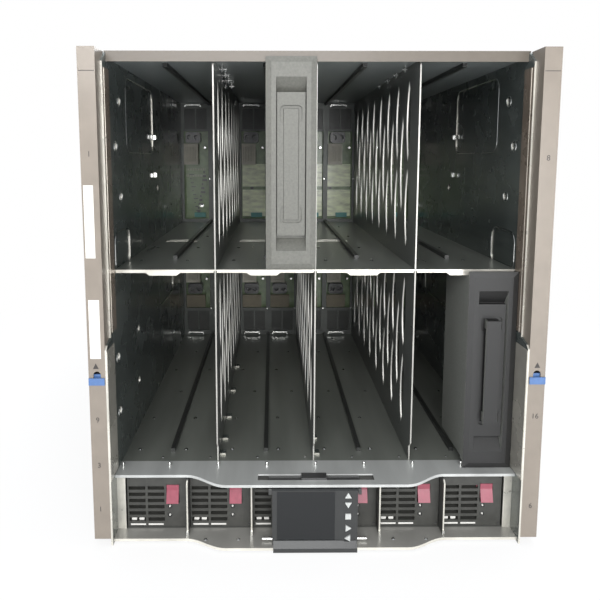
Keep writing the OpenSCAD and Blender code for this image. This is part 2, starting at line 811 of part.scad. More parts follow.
// a bail handle on a rear face, standing on y = body_d
module rear_handle(w, t) {
    for (s = [-1, 1])
        block([s > 0 ? w / 2 - t : -w / 2, body_d, -t / 2],
              [s > 0 ? w / 2 : -w / 2 + t, body_d + handle_out - 3, t / 2]);
    block([-w / 2, body_d + handle_out - 3, -t / 2], [w / 2, body_d + handle_out, t / 2]);
}

function fan_x(f) = (f[0] - 2) * fan_pitch;
function fan_z(f) = f[1] == 0 ? low_fan_z : top_fan_z;

module fan_modules() {
    for (f = fans)
        translate([fan_x(f), 0, fan_z(f)])
            color(charcoal) {
                difference() {
                    block([-fan_w / 2, body_d - fan_l, 0], [fan_w / 2, body_d, fan_h]);
                    translate([0, 0, fan_h / 2]) rod_y(duct_r, body_d - fan_l - 1, body_d + 1);
                }
                translate([0, 0, fan_h / 2]) {
                    // spider that carries the shaft
                    profile_y(body_d - fan_l, body_d - fan_l + 4) {
                        circle(9, $fn = 32);
                        for (a = [0, 45, 90, 135]) rotate(a) square([2 * duct_r + 1, 3], center = true);
                    }
                    rod_y(shaft_r, body_d - fan_l + 2, body_d - 10);
                    // finger guard
                    profile_y(body_d - 3, body_d) {
                        for (r = [12, 22, 32])
                            difference() {
                                circle(r, $fn = 48);
                                circle(r - 1.6, $fn = 48);
                            }
                        for (a = [0, 90]) rotate(a + 45) square([2 * duct_r + 1, 2], center = true);
                    }
                }
                translate([0, 0, 5]) rear_handle(50, 6);
            }
}

module fan_rotor(f) {
    y0 = body_d - fan_l + 10;
    y1 = body_d - 14;
    blade_n = 7;
    translate([fan_x(f), 0, fan_z(f) + fan_h / 2])
        color(black)
            difference() {
                union() {
                    rod_y(hub_r, y0, y1);
                    intersection() {
                        rod_y(duct_r - 1.5, y0 + 4, y1 - 4);
                        for (k = [0:blade_n - 1])
                            rotate([0, k * 360 / blade_n, 0])
                                translate([0, (y0 + y1) / 2, 0]) rotate([0, 0, 38])
                                    block([-1.1, -fan_l / 2, hub_r - 4], [1.1, fan_l / 2, duct_r + 4]);
                    }
                }
                rod_y(shaft_r + bore_gap, y0 - 1, y1 + 1);
            }
}

module fan_blanks() {
    for (c = [0:4], r = [0, 1])
        if (len([for (f = fans) if (f == [c, r]) 1]) == 0)
            translate([fan_x([c, r]), 0, fan_z([c, r])])
                color(light_sheet) {
                    block([-fan_w / 2, body_d - 20, 0], [fan_w / 2, body_d, fan_h]);
                    translate([0, 0, 5]) rear_handle(50, 6);
                }
}

// the left and the right module of a pair
module paired() {
    for (s = [-1, 1])
        translate([s * (wall_x + 0.8) / 2, 0, 0]) children();
}

pair_w = wall_x - 0.8 - 2 * edge_gap;

module interconnect_blanks() {
    for (r = [0:ic_rows - 1])
        translate([0, 0, ic_z + r * ic_pitch])
            paired()
                color(light_sheet) {
                    block([-pair_w / 2, body_d - 20, 0], [pair_w / 2, body_d, ic_pitch - sheet_t - edge_gap]);
                    for (s = [-1, 1]) translate([s * (pair_w / 2 - 8), 0, ic_pitch / 2]) rod_y(4, body_d, body_d + 6);
                }
}

module admin_modules() {
    translate([0, 0, admin_z])
        paired()
            color(light_sheet) {
                difference() {
                    block([-pair_w / 2, body_d - admin_l, 0], [pair_w / 2, body_d, admin_h]);
                    // sockets of the network and service plugs
                    for (x = [-82, -62, 50])
                        translate([x, 0, admin_h / 2]) block([-7.5, body_d - 9, -6], [7.5, body_d + 1, 6]);
                    translate([76, 0, admin_h / 2])
                        profile_y(body_d - 6, body_d + 1) rounded(26, 11, 3);
                }
                translate([0, 0, admin_h / 2]) rear_handle(60, 6);
            }
}

module power_inlets() {
    for (i = [0:psu_n - 1])
        translate([psu_x(i), 0, tray_t])
            color(charcoal)
                difference() {
                    block([-psu_w / 2, body_d - 60, 0], [psu_w / 2, body_d, psu_h]);
                    translate([0, 0, psu_h / 2]) profile_y(body_d - 18, body_d + 1) rounded(32, 24, 4);
                }
}

placed() top_cover();
placed() mirror([1, 0, 0]) side_wall();  // left_side_wall
placed() side_wall();  // right_side_wall
placed() base_tray();
placed() bay_floor();
placed() divider(-2 * bay_w);  // divider_left
placed() divider(0);  // divider_centre
placed() divider(2 * bay_w);  // divider_right
placed() bay_shelf(0);  // bay_shelf_1
placed() bay_shelf(1);  // bay_shelf_2
placed() bay_shelf(2);  // bay_shelf_3
placed() bay_shelf(3);  // bay_shelf_4
placed() guide_strips();
placed() alignment_studs();
placed() mirror([1, 0, 0]) bezel();  // left_bezel
placed() bezel();  // right_bezel
placed() mirror([1, 0, 0]) latch();  // left_latch
placed() latch();  // right_latch
placed() midplane_board();
placed() midplane_frame();
placed() signal_connectors();
placed() power_connectors();
placed() air_doors(upper_door_z);  // upper_air_doors
placed() air_doors(lower_door_z);  // lower_air_doors
placed() psu_bay_frame();
placed() psu(0);  // psu_1
placed() psu(1);  // psu_2
placed() psu(2);  // psu_3
placed() psu(3);  // psu_4
placed() psu(4);  // psu_5
placed() psu(5);  // psu_6
placed() psu_tab(0);  // psu_tab_1
placed() psu_tab(1);  // psu_tab_2
placed() psu_tab(2);  // psu_tab_3
placed() psu_tab(3);  // psu_tab_4
placed() psu_tab(4);  // psu_tab_5
placed() psu_tab(5);  // psu_tab_6
placed() display_slider();
placed() display_housing();
placed() display_window();
placed() display_rod();
placed() display_button(0);  // button_up
placed() display_button(1);  // button_down
placed() display_button(2);  // button_stop
placed() display_button(3);  // button_next
placed() display_button(4);  // button_back
placed() blank(upper_blank_x, upper_blank_z);  // upper_blank
placed() grip(upper_blank_x, upper_blank_z, 0);  // upper_grip
placed() blank(lower_blank_x, lower_blank_z);  // lower_blank
placed() grip(lower_blank_x, lower_blank_z, grip_rest);  // lower_grip
placed() rear_cage();
placed() fan_modules();
placed() fan_rotor(fans[0]);  // fan_rotor_1
placed() fan_rotor(fans[1]);  // fan_rotor_2
placed() fan_rotor(fans[2]);  // fan_rotor_3
placed() fan_rotor(fans[3]);  // fan_rotor_4
placed() fan_blanks();
placed() interconnect_blanks();
placed() admin_modules();
placed() power_inlets();
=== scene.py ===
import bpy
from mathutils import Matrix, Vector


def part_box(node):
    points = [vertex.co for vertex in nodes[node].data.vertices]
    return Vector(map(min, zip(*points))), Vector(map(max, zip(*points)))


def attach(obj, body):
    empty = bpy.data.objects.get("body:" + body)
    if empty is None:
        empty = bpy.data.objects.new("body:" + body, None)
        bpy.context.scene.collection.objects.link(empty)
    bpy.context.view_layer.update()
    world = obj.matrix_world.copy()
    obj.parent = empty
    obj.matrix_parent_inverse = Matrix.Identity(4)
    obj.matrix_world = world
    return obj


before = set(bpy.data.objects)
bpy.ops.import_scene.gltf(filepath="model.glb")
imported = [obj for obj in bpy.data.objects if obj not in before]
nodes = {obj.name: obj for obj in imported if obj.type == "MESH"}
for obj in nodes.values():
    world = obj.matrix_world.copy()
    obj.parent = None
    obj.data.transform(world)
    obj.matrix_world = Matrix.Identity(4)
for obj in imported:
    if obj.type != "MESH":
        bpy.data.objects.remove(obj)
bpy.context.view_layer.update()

from math import cos, pi, radians, sin

import bmesh
import bpy
from mathutils import Matrix, Vector

MM = 0.001
scene = bpy.context.scene
scene.view_settings.view_transform = "Standard"

# --- Camera ---------------------------------------------------------------------
# It stands before the open front, a little left of the middle and near the top of the case,
# and looks slightly down. Its lens is shifted to frame the case.
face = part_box("left_bezel")[0].y
camera = bpy.data.objects.new("camera", bpy.data.cameras.new("camera"))
scene.collection.objects.link(camera)
camera.data.lens = 32.87
camera.data.shift_x = 0.0411
camera.data.shift_y = -0.1355
camera.data.clip_start = 0.02
camera.location = (-0.0482, face - 0.557, 0.4196)
camera.rotation_euler = (radians(90 - 6.22), 0, radians(-0.37))
scene.camera = camera


# --- Floor and light ------------------------------------------------------------
# A plain white floor and white surroundings, with soft light from the front and above.
def soft_lamp(name, place, target, size, watts):
    lamp = bpy.data.objects.new(name, bpy.data.lights.new(name, "AREA"))
    lamp.data.shape = "RECTANGLE"
    lamp.data.size, lamp.data.size_y = size
    lamp.data.energy = watts
    lamp.location = place
    lamp.rotation_euler = (Vector(target) - Vector(place)).to_track_quat("-Z", "Y").to_euler()
    scene.collection.objects.link(lamp)


soft_lamp("front_lamp", (-0.3, face - 1.9, 1.25), (0, face + 0.2, 0.25), (1.5, 1.1), 50)
soft_lamp("low_lamp", (0.5, face - 1.6, 0.35), (0, face + 0.3, 0.25), (0.9, 0.6), 15)
soft_lamp("top_lamp", (0.2, 0.1, 2.2), (0, 0, 0.3), (1.6, 1.6), 26)
soft_lamp("back_lamp", (0.6, 2.2, 1.3), (0, 0.3, 0.25), (1.4, 1.0), 22)


def camera_sees(tree):
    """1 for the camera and for rays through clear pieces, 0 for all other light."""
    paths = tree.nodes.new("ShaderNodeLightPath")
    seen = tree.nodes.new("ShaderNodeMath")
    seen.operation = "MAXIMUM"
    tree.links.new(paths.outputs["Is Camera Ray"], seen.inputs[0])
    tree.links.new(paths.outputs["Is Transmission Ray"], seen.inputs[1])
    return seen.outputs[0]


world = bpy.data.worlds.new("surroundings")
scene.world = world
world.use_nodes = True
tree = world.node_tree
tree.nodes.clear()
dim = tree.nodes.new("ShaderNodeBackground")
dim.inputs["Color"].default_value = (0.9, 0.95, 1.0, 1)
dim.inputs["Strength"].default_value = 0.5
white = tree.nodes.new("ShaderNodeBackground")
white.inputs["Strength"].default_value = 1.0
white.inputs["Color"].default_value = (1, 1, 1, 1)
pick = tree.nodes.new("ShaderNodeMixShader")
tree.links.new(camera_sees(tree), pick.inputs[0])
tree.links.new(dim.outputs[0], pick.inputs[1])
tree.links.new(white.outputs[0], pick.inputs[2])
out = tree.nodes.new("ShaderNodeOutputWorld")
tree.links.new(pick.outputs[0], out.inputs["Surface"])

bpy.ops.mesh.primitive_plane_add(size=30, location=(0, 0, -0.0005))
floor = bpy.context.object
floor.name = "floor"
floor_paint = bpy.data.materials.new("floor_paint")
floor_paint.use_nodes = True
tree = floor_paint.node_tree
paint = tree.nodes["Principled BSDF"]
paint.inputs["Base Color"].default_value = (0.88, 0.88, 0.88, 1)
paint.inputs["Roughness"].default_value = 0.95
glow = tree.nodes.new("ShaderNodeEmission")
glow.inputs["Strength"].default_value = 1.0
place = tree.nodes.new("ShaderNodeTexCoord")
away = tree.nodes.new("ShaderNodeVectorMath")
away.operation = "LENGTH"
tree.links.new(place.outputs["Object"], away.inputs[0])
lit = tree.nodes.new("ShaderNodeMapRange")
lit.inputs["From Min"].default_value = 0.45
lit.inputs["From Max"].default_value = 0.9
lit.inputs["To Min"].default_value = 0.8
tree.links.new(away.outputs["Value"], lit.inputs["Value"])
share = tree.nodes.new("ShaderNodeMath")
share.operation = "MULTIPLY"
tree.links.new(camera_sees(tree), share.inputs[0])
tree.links.new(lit.outputs[0], share.inputs[1])
blend = tree.nodes.new("ShaderNodeMixShader")
tree.links.new(share.outputs[0], blend.inputs[0])
tree.links.new(paint.outputs[0], blend.inputs[1])
tree.links.new(glow.outputs[0], blend.inputs[2])
tree.links.new(blend.outputs[0], tree.nodes["Material Output"].inputs["Surface"])
floor.data.materials.append(floor_paint)


# --- Case: cover, side sheets, tray ----------------------------------------------
# Folded sheet steel. The cover's lip and the tray are painted a warm grey with a fine orange-peel
# skin, and the side sheets and the bay's inside are dark and slightly glossy. The faces of the side
# sheets and the tray that look forward are painted pale cream as a painted highlight.
def finish(name, colour, rough, metal=0.0, mottle=0.10, mottle_size=90, grain=0.0, grain_size=900,
           coat=0.0, streak=(1, 1, 1), edges=None, zones=()):
    """A finish with uneven colour and gloss and a fine raised grain. edges is (axis, side, colour):
    faces that look along that axis, to that side or to both (0), show another colour. Each zone()
    is a box of the case whose inside shows another colour."""
    made = bpy.data.materials.new(name)
    made.use_nodes = True
    tree = made.node_tree
    link = tree.links.new
    shader = tree.nodes["Principled BSDF"]
    shader.inputs["Metallic"].default_value = metal
    shader.inputs["Coat Weight"].default_value = coat
    shader.inputs["Coat Roughness"].default_value = 0.12
    place = tree.nodes.new("ShaderNodeTexCoord")
    stretch = tree.nodes.new("ShaderNodeMapping")
    stretch.inputs["Scale"].default_value = streak
    link(place.outputs["Object"], stretch.inputs["Vector"])
    cloud = tree.nodes.new("ShaderNodeTexNoise")
    cloud.inputs["Scale"].default_value = mottle_size
    cloud.inputs["Detail"].default_value = 5
    link(stretch.outputs[0], cloud.inputs["Vector"])

    def number(operation, first, second):
        node = tree.nodes.new("ShaderNodeMath")
        node.operation = operation
        for socket, value in zip(node.inputs, (first, second)):
            if isinstance(value, (int, float)):
                socket.default_value = value
            else:
                link(value, socket)
        return node.outputs[0]

    def laid_over(under, over, share):
        mix = tree.nodes.new("ShaderNodeMix")
        mix.data_type = "RGBA"
        link(share, mix.inputs["Factor"])
        link(under, mix.inputs["A"])
        mix.inputs["B"].default_value = (*over, 1)
        return mix.outputs["Result"]

    base = tree.nodes.new("ShaderNodeRGB")
    base.outputs[0].default_value = (*colour, 1)
    tint = base.outputs[0]
    spot = tree.nodes.new("ShaderNodeSeparateXYZ")
    link(place.outputs["Object"], spot.inputs[0])
    for low, high, over in zones:
        share = None
        for k in range(3):
            for bound, test in ((low[k], "GREATER_THAN"), (high[k], "LESS_THAN")):
                if bound is not None:
                    inside = number(test, spot.outputs[k], bound)
                    share = inside if share is None else number("MULTIPLY", share, inside)
        tint = laid_over(tint, over, share)
    if edges:
        axis, side, over = edges
        turned = tree.nodes.new("ShaderNodeSeparateXYZ")
        link(place.outputs["Normal"], turned.inputs[0])
        along = turned.outputs[axis]
        along = number("ABSOLUTE", along, 0) if side == 0 else number("MULTIPLY", along, side)
        tint = laid_over(tint, over, number("GREATER_THAN", along, 0.7))
    shade = tree.nodes.new("ShaderNodeMapRange")
    shade.inputs["From Min"].default_value = 0.3
    shade.inputs["From Max"].default_value = 0.7
    shade.inputs["To Min"].default_value = 1 - mottle
    shade.inputs["To Max"].default_value = 1 + mottle
    link(cloud.outputs["Fac"], shade.inputs["Value"])
    uneven = tree.nodes.new("ShaderNodeVectorMath")
    uneven.operation = "SCALE"
    link(tint, uneven.inputs[0])
    link(shade.outputs[0], uneven.inputs["Scale"])
    link(uneven.outputs[0], shader.inputs["Base Color"])
    gloss = tree.nodes.new("ShaderNodeMapRange")
    gloss.inputs["To Min"].default_value = max(0.02, rough - 0.07)
    gloss.inputs["To Max"].default_value = min(1, rough + 0.07)
    link(cloud.outputs["Fac"], gloss.inputs["Value"])
    link(gloss.outputs[0], shader.inputs["Roughness"])
    if grain:
        fine = tree.nodes.new("ShaderNodeTexNoise")
        fine.inputs["Scale"].default_value = grain_size
        fine.inputs["Detail"].default_value = 2
        link(stretch.outputs[0], fine.inputs["Vector"])
        raised = tree.nodes.new("ShaderNodeBump")
        raised.inputs["Strength"].default_value = grain
        raised.inputs["Distance"].default_value = 0.0004
        link(fine.outputs["Fac"], raised.inputs["Height"])
        link(raised.outputs[0], shader.inputs["Normal"])
    return made


def dress(material, *names):
    for name in names:
        nodes[name].data.materials.clear()
        nodes[name].data.materials.append(material)


def zone(low, high, colour):
    """None leaves a side open."""
    corners = []
    for x, depth, z in (low, high):
        corners.append((None if x is None else x * MM, None if depth is None else face + depth * MM,
                        None if z is None else z * MM))
    return corners[0], corners[1], colour


# A pale cream painted highlight for faces that look forward, towards the camera and the front lamp.
front_face_highlight = (0.60, 0.58, 0.52)
inner_dark = (0.10, 0.115, 0.11)
ceiling_dark = (0.19, 0.21, 0.21)
post_colour = (0.44, 0.42, 0.37)
strip_colour = (0.26, 0.21, 0.17)
case_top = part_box("top_cover")[1].z / MM
lip_back = 32.3
strip_x = 221.8
warm_grey = finish("warm_grey_paint", (0.10, 0.083, 0.065), 0.42, mottle=0.06, grain=0.25, coat=0.1,
                   zones=[zone((None, lip_back, None), (None, None, case_top - 1.7), ceiling_dark)])
# The side sheets' faces that look forward are painted pale cream as a painted highlight.
dark_steel = finish("dark_steel", inner_dark, 0.27, metal=0.5, mottle=0.2, mottle_size=24,
                    grain=0.12, grain_size=300, coat=0.3, edges=(1, -1, front_face_highlight),
                    zones=[zone((-strip_x, None, 232), (strip_x, 38.5, 514), strip_colour),
                           zone((-strip_x, None, 73), (strip_x, 28.5, 219), post_colour)])
dress(warm_grey, "top_cover")
dress(dark_steel, "left_side_wall", "right_side_wall")
# The tray's faces that look forward are painted pale cream as a painted highlight.
tray_paint = finish("tray_grey", (0.13, 0.133, 0.122), 0.36, metal=0.3, mottle=0.12, mottle_size=30,
                    streak=(1, 0.2, 1), grain=0.1, coat=0.2, edges=(1, -1, front_face_highlight),
                    zones=[zone((None, None, None), (None, 22, None), (0.28, 0.275, 0.255))])
dress(tray_paint, "base_tray")


def spot(x, depth, z):
    """A point of the case, in metres, from millimetres across, behind the bezels' face and up."""
    return Vector((x * MM, face + depth * MM, z * MM))


def add_block(form, low, high, round_by=0.0):
    """A block between two corners, given as for spot(), with its edges rounded."""
    corners = bmesh.ops.create_cube(form, size=1)["verts"]
    low, high = spot(*low), spot(*high)
    bmesh.ops.scale(form, vec=high - low, verts=corners)
    bmesh.ops.translate(form, vec=(low + high) / 2, verts=corners)
    if round_by:
        rims = list({rim for corner in corners for rim in corner.link_edges})
        bmesh.ops.bevel(form, geom=rims, offset=round_by * MM, segments=2, affect="EDGES")


def add_round(form, centre, radius, length, axis, tip=None):
    """A round rod or, with another tip radius, a tapered head that stands out from its centre."""
    turned = {"+z": Matrix(), "-y": Matrix.Rotation(pi / 2, 4, "X"),
              "+x": Matrix.Rotation(pi / 2, 4, "Y"), "-x": Matrix.Rotation(-pi / 2, 4, "Y")}[axis]
    raised = Matrix.Translation((0, 0, length * MM / 2))
    bmesh.ops.create_cone(form, cap_ends=True, segments=20, radius1=radius * MM,
                          radius2=(radius if tip is None else tip) * MM, depth=length * MM,
                          matrix=Matrix.Translation(spot(*centre)) @ turned @ raised)


def add_plate(form, outline, front, back):
    """A flat plate with its outline in x and z, from its front depth to its back one."""
    near = [form.verts.new(spot(x, front, z)) for x, z in outline]
    far = [form.verts.new(spot(x, back, z)) for x, z in outline]
    form.faces.new(near)
    form.faces.new(far[::-1])
    for k in range(len(near)):
        form.faces.new((near[k - 1], far[k - 1], far[k], near[k]))


def keep(form, name, body, material):
    """Makes the form a piece of the model that rides on a body and takes its finish from a slot."""
    bmesh.ops.recalc_face_normals(form, faces=form.faces)
    mesh = bpy.data.meshes.new(name)
    form.to_mesh(mesh)
    form.free()
    mesh.materials.append(material)
    piece = bpy.data.objects.new(name, mesh)
    scene.collection.objects.link(piece)
    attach(piece, body)


bright_steel = finish("bright_steel", (0.72, 0.72, 0.70), 0.2, metal=1.0, mottle=0.08,
                      mottle_size=300)
tray_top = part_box("base_tray")[1].z / MM
form = bmesh.new()
for x in (-121, -85, 85, 121):
    add_round(form, (x, 3, tray_top), 2.2, 0.7, "+z", tip=1.4)
keep(form, "tray_rivets", "enclosure", bright_steel)


# --- Side sheets -------------------------------------------------------------------
# Raised rims round the pressed pockets and dimples, in bright steel as a painted highlight where
# their slopes catch the light, rivet heads in rows, and two small hooks on each sheet above the
# shelves.
def rounded_outline(middle, width, height, radius):
    """Points round a rectangle with round corners, in depth and height."""
    return [(middle[0] + a * (width / 2 - radius) + radius * cos(turn),
             middle[1] + b * (height / 2 - radius) + radius * sin(turn))
            for a, b, first in ((1, 1, 0), (-1, 1, 1), (-1, -1, 2), (1, -1, 3))
            for turn in [(first + k / 6) * pi / 2 for k in range(7)]]


def add_rim(form, side, middle, width, height, radius, rim):
    """A raised rim on a side sheet (side -1 or 1), round a pocket with round corners."""
    slope, rise = 0.35, 0.45
    rings = []
    for grow, out in ((0, 0), (slope, rise), (rim - slope, rise), (rim, 0)):
        outline = rounded_outline(middle, width + 2 * grow, height + 2 * grow, radius + grow)
        rings.append([form.verts.new(spot(side * (wall - out), y, z)) for y, z in outline])
    for inner, outer in zip(rings, rings[1:]):
        for k in range(len(inner)):
            form.faces.new((inner[k - 1], inner[k], outer[k], outer[k - 1]))


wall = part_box("bay_floor")[1].x / MM
bay_foot, ceiling = [corner.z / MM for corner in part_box("guide_strips")]
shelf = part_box("bay_shelf_1")[1].z / MM
pockets = (((178, ceiling - 54), 147, 87), ((76, shelf + 17.5), 63, 44),
           ((330, bay_foot + 150), 120, 60))
dimples = ((75, ceiling - 41), (57, ceiling - 92), (73, ceiling - 149), (275, ceiling - 149),
           (42, bay_foot + 125), (136, bay_foot + 128), (133, bay_foot + 60), (43, bay_foot + 61))
dimple_w = 11
form = bmesh.new()
for side in (-1, 1):
    for middle, width, height in pockets:
        add_rim(form, side, middle, width, height, 12, 1.3)
    for middle in dimples:
        add_rim(form, side, middle, dimple_w, dimple_w, 5.49, 0.9)
# The rims' bright steel is a painted highlight on the dark sheet's pocket slopes.
keep(form, "wall_rim_highlights", "enclosure", bright_steel)
rivet_rows = (ceiling - 20, ceiling - 120, shelf + 45, shelf - 30, bay_foot + 90, bay_foot + 24)
hook_back = 262
hook_h = 6
form = bmesh.new()
for side, inward in ((-1, "+x"), (1, "-x")):
    for depth in (120, 210, 300, 390, 470):
        for level in rivet_rows:
            place = (side * wall, depth + 7 * sin(level), level)
            add_round(form, place, 2.4, 0.8, inward, tip=1.5)
    for level in (shelf + 95, shelf + 150):
        for first, rise in ((236, 1.2), (256, 3.2)):
            inner, outer = sorted((side * wall, side * (wall - rise)))
            add_block(form, (inner, first, level), (outer, hook_back, level + hook_h), 0.5)
keep(form, "wall_rivets", "enclosure", bright_steel)

# --- Bay floor, shelves and dividers ---------------------------------------------
# Zinc-plated sheet: brownish grey with a sheen along the rolling direction. The shelves' faces that
# look forward are painted pale cream as a painted highlight; the dividers are painted pale as a painted
# highlight on their edges and dark as painted shade on their flat sides.
floor_zinc = finish("floor_zinc", (0.19, 0.20, 0.18), 0.36, metal=0.45, mottle=0.16, mottle_size=30,
                    streak=(1, 0.12, 1), grain=0.1, grain_size=500,
                    zones=[zone((None, None, None), (None, 44, None), (0.50, 0.51, 0.50))])
# The shelves' faces that look forward are painted pale cream as a painted highlight.
shelf_zinc = finish("shelf_zinc", (0.18, 0.19, 0.175), 0.3, metal=0.5, mottle=0.2, mottle_size=36,
                    streak=(1, 0.2, 1), grain=0.1, grain_size=500, edges=(1, -1, front_face_highlight))
# The dividers' pale colour is a painted highlight on their edges; the dark colour on faces that look
# sideways is painted shade.
divider_zinc = finish("divider_zinc", (0.36, 0.355, 0.33), 0.3, metal=0.3, mottle=0.12,
                      mottle_size=40, streak=(1, 0.15, 1), grain=0.08, grain_size=600,
                      edges=(0, 0, (0.10, 0.105, 0.10)))
dress(floor_zinc, "bay_floor")
dress(shelf_zinc, "bay_shelf_1", "bay_shelf_2", "bay_shelf_3", "bay_shelf_4")
dress(divider_zinc, "divider_left", "divider_centre", "divider_right")
bay_n = 8
bay = 2 * wall / bay_n
rivet = {"radius": 2.3, "length": 0.9, "axis": "+z", "tip": 1.3}
form = bmesh.new()
for k in range(bay_n):
    across = (k - 3.5) * bay
    for depth, aside in ((70, -13), (150, -13), (235, 9), (320, -13), (405, 9), (480, -13)):
        add_round(form, (across + aside, depth, bay_foot), **rivet)
    for depth in (95, 190, 300, 420) if k % 2 else (95, 190):
        add_round(form, (across - 11, depth, shelf), **rivet)
    add_round(form, (across + 18, 52, bay_foot), 1.5, 0.5, "+z", tip=1.0)
keep(form, "floor_rivets", "enclosure", bright_steel)

# cross-shaped tabs that hang from the ceiling beside the outer dividers
form = bmesh.new()
for across in (-2 * bay + 6, 2 * bay - 6):
    for depth in (84, 128, 176, 232):
        add_block(form, (across - 0.6, depth, ceiling - 7), (across + 0.6, depth + 5, ceiling), 0.2)
        add_block(form, (across - 4, depth + 2, ceiling - 4.2),
                  (across + 4, depth + 3.2, ceiling - 3), 0.2)
keep(form, "ceiling_tabs", "enclosure", bright_steel)

# feet of the left and the middle divider
form = bmesh.new()
for k in (-2, 0):
    for depth in (56, 92, 150, 235, 330):
        add_block(form, (k * bay + 1.2, depth, bay_foot),
                  (k * bay + 8, depth + 9, bay_foot + 2.2), 0.4)
keep(form, "divider_feet", "enclosure", dark_steel)

# raised pads on the shelves, one on each
pad_w = 46
form = bmesh.new()
for left in (-205, -97, 18, 130):
    add_block(form, (left, 250, shelf), (left + pad_w, 330, shelf + 0.5), 0.3)
    add_block(form, (left + 4, 258, shelf + 0.4), (left + pad_w - 4, 322, shelf + 0.9), 0.3)
keep(form, "shelf_pads", "enclosure", shelf_zinc)

# --- Guide strips and studs --------------------------------------------------------
# Black moulded strips that steer a module, and turned steel studs along the floor's front edge.
guide_black = finish("guide_black", (0.022, 0.023, 0.022), 0.35, mottle=0.2, mottle_size=120)
dress(guide_black, "guide_strips")
dress(bright_steel, "alignment_studs")

# --- Bezels and latches ------------------------------------------------------------
# Moulded covers over the rack flanges in pale metallic beige, with a blue latch band on each.
beige = finish("beige_bezel", (0.205, 0.176, 0.147), 0.38, metal=0.1, mottle=0.05, mottle_size=60,
               grain=0.18, grain_size=1400, coat=0.15)
latch_blue = finish("latch_blue", (0.06, 0.13, 0.30), 0.3, mottle=0.12, mottle_size=200, coat=0.3)
dress(beige, "left_bezel", "right_bezel")
dress(latch_blue, "left_latch", "right_latch")
label_white = finish("label_white", (0.62, 0.61, 0.58), 0.5, mottle=0.03, mottle_size=200)
print_dark = finish("print_dark", (0.035, 0.03, 0.028), 0.5, mottle=0.05, mottle_size=300)

# two bare labels on the left bezel
form = bmesh.new()
for x0, x1, z0, z1 in ((-239.6, -229.6, 318, 393), (-238.8, -227.6, 211, 274)):
    add_plate(form, [(x0, z0), (x1, z0), (x1, z1), (x0, z1)], -0.18, 0.02)
keep(form, "bezel_labels", "enclosure", label_white)

# a triangle over each latch and a thin line near the top of each bezel
triangle_z = 200
line_z = 506.6
form = bmesh.new()
for x in (-233.4, 232.4):
    add_plate(form, [(x - 3, triangle_z), (x + 3, triangle_z), (x, triangle_z + 6)], -0.15, 0.02)
for x in (-232.4, 232.4):
    add_plate(form, [(x - 8, line_z), (x + 8, line_z), (x + 8, line_z + 0.7), (x - 8, line_z + 0.7)],
              -0.1, 0.02)
keep(form, "bezel_marks", "enclosure", print_dark)

# plain numbers beside the bays and the supplies
print_t = 0.06
form = bmesh.new()
for words, x, z in (("1", -232.6, 422), ("9", -233.4, 141), ("3", -233.4, 90), ("1", -233.8, 40),
                    ("8", 232.4, 418), ("16", 232.6, 144), ("6", 232.8, 42)):
    text = bpy.data.curves.new("number", "FONT")
    text.body = words
    text.size = 8 * MM
    text.align_x = "CENTER"
    text.extrude = print_t * MM
    holder = bpy.data.objects.new("number", text)
    scene.collection.objects.link(holder)
    bpy.context.view_layer.update()
    flat = bpy.data.meshes.new_from_object(holder)
    flat.transform(Matrix.Translation(spot(x, -print_t, z)) @ Matrix.Rotation(pi / 2, 4, "X"))
    form.from_mesh(flat)
    bpy.data.objects.remove(holder)
    bpy.data.meshes.remove(flat)
    bpy.data.curves.remove(text)
keep(form, "bezel_numbers", "enclosure", print_dark)

# --- Midplane ------------------------------------------------------------------------
# A green lacquered board behind a dark slotted frame, with moulded connectors and dark doors.
board_green = finish("board_green", (0.17, 0.24, 0.12), 0.35, mottle=0.3, mottle_size=70, coat=0.4)
frame_dark = finish("frame_dark", (0.085, 0.09, 0.085), 0.4, metal=0.5, mottle=0.2, mottle_size=40)
door_dark = finish("door_dark", (0.035, 0.036, 0.034), 0.35, metal=0.4, mottle=0.2, mottle_size=60)
ivory = finish("connector_ivory", (0.52, 0.50, 0.42), 0.45, mottle=0.1, mottle_size=150)
power_black = finish("power_black", (0.03, 0.03, 0.03), 0.3, mottle=0.2, mottle_size=150, coat=0.3)
dress(board_green, "midplane_board")
dress(frame_dark, "midplane_frame")
dress(door_dark, "upper_air_doors", "lower_air_doors")
dress(ivory, "signal_connectors")
dress(power_black, "power_connectors")
panel_green = finish("panel_green", (0.72, 0.78, 0.54), 0.3, mottle=0.25, mottle_size=60, coat=0.4,
                     streak=(1, 1, 3))
teal = finish("teal_plastic", (0.10, 0.30, 0.28), 0.4)
dull_brown = finish("dull_brown", (0.16, 0.14, 0.10), 0.45, metal=0.3, mottle=0.15, mottle_size=60)
board = (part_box("midplane_board")[0].y - face) / MM
frame_at = (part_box("midplane_frame")[0].y - face) / MM
bracket_at = 499
plate_z = bay_foot + 55
plate_h = 25
chip_n = 22
pad_pitch = 3.2
brackets, screws, chips, pads, panels, plugs, plates = [bmesh.new() for _ in range(7)]
